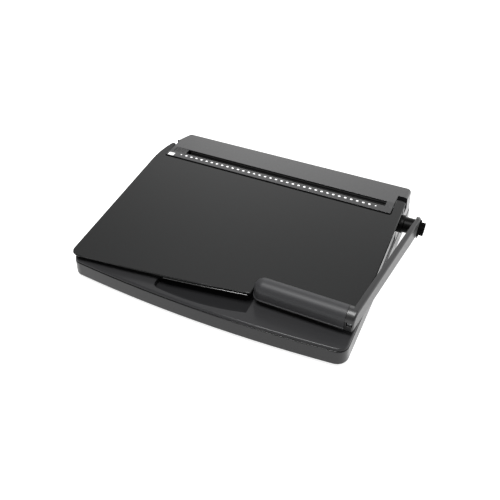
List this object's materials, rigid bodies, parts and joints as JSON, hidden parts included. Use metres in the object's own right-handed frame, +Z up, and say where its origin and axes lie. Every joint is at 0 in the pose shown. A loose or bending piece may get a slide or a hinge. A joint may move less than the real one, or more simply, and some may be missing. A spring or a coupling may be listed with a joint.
{
  "type": "wire binding machine",
  "caption": "Desktop wire binding machine: slotted rear punch housing, large hinged sloping cover, side lever with a cross grip, bowed front ledge with a finger recess.",
  "frame": {"origin": "middle of the machine's bounding footprint, on the table", "axes": "+Z up, +X to the operator's right along the punched row, +Y from the operator to the rear"},
  "size_m": [0.4022, 0.3058, 0.062],
  "materials": {
    "case_plastic": "moulded black ABS, fine satin gloss",
    "lid_plastic": "moulded black ABS with a fine spark texture",
    "grip_plastic": "black nylon, satin",
    "knob_plastic": "black nylon",
    "drawer_plastic": "black polypropylene",
    "lever_paint": "black powder coat on steel",
    "bright_steel": "zinc plated or ground steel",
    "guide_nylon": "natural nylon",
    "bush_bronze": "sintered bronze",
    "foot_rubber": "moulded rubber",
    "mark_white": "pad printed white ink"
  },
  "bodies": {
    "case": {"base_shell": "case_plastic", "front_deck": "case_plastic", "rear_housing": "case_plastic", "lever_boss": "case_plastic", "hole_marks": "mark_white", "throat_lining": "case_plastic", "rubber_feet": "foot_rubber", "slot_strip": "case_plastic", "hinge_pins": "bright_steel", "punch_guide_plate": "bright_steel", "die_plate": "bright_steel", "paper_stop": "bright_steel", "closer_anvil": "bright_steel", "anvil_posts": "bright_steel", "punch_guard": "lever_paint", "slide_rail_left": "guide_nylon", "slide_rail_right": "guide_nylon", "side_frame_left": "bright_steel", "side_frame_right": "bright_steel", "frame_screws": "bright_steel", "case_screws": "bright_steel", "shaft_bushes": "bush_bronze"},
    "lever": {"main_shaft": "bright_steel", "pinion_left": "bright_steel", "pinion_right": "bright_steel", "lever_arm": "lever_paint", "lever_grip": "grip_plastic", "grip_core": "bright_steel", "grip_clip": "bright_steel", "knob_screw": "bright_steel"},
    "knob": {"adjusting_knob": "knob_plastic"},
    "carriage": {"punch_bar": "bright_steel", "punch_pins": "bright_steel", "pin_retainer": "bright_steel", "rack_bar_left": "bright_steel", "rack_bar_right": "bright_steel", "closer_jaw": "bright_steel"},
    "lid": {"lid": "lid_plastic"},
    "drawer": {"chip_drawer": "drawer_plastic"},
    "paper_guide": {"edge_guide": "knob_plastic"}
  },
  "joints": [
    {"name": "lever_hinge", "type": "hinge", "parent": "case", "child": "lever", "pos_m": [0.1877, 0.08125, 0.04501], "axis": [-1, 0, 0], "range_deg": [0, 85]},
    {"name": "knob_turn", "type": "hinge", "parent": "lever", "child": "knob", "pos_m": [0.1978, 0.08125, 0.04501], "axis": [1, 0, 0], "range_deg": [0, 270]},
    {"name": "carriage_slide", "type": "slide", "parent": "case", "child": "carriage", "axis": [0, -1, 0], "range_m": [0, 0.01187]},
    {"name": "lid_hinge", "type": "hinge", "parent": "case", "child": "lid", "pos_m": [-0.0157, 0.10325, 0.05001], "axis": [-1, 0, 0], "range_deg": [0, 95]},
    {"name": "drawer_slide", "type": "slide", "parent": "case", "child": "drawer", "axis": [-1, 0, 0], "range_m": [0, 0.25]},
    {"name": "guide_slide", "type": "slide", "parent": "case", "child": "paper_guide", "axis": [1, 0, 0], "range_m": [0, 0.00423]}
  ],
  "couplings": [
    {"joint": "carriage_slide", "follows": "lever_hinge", "m_per_rad": 0.008}
  ]
}
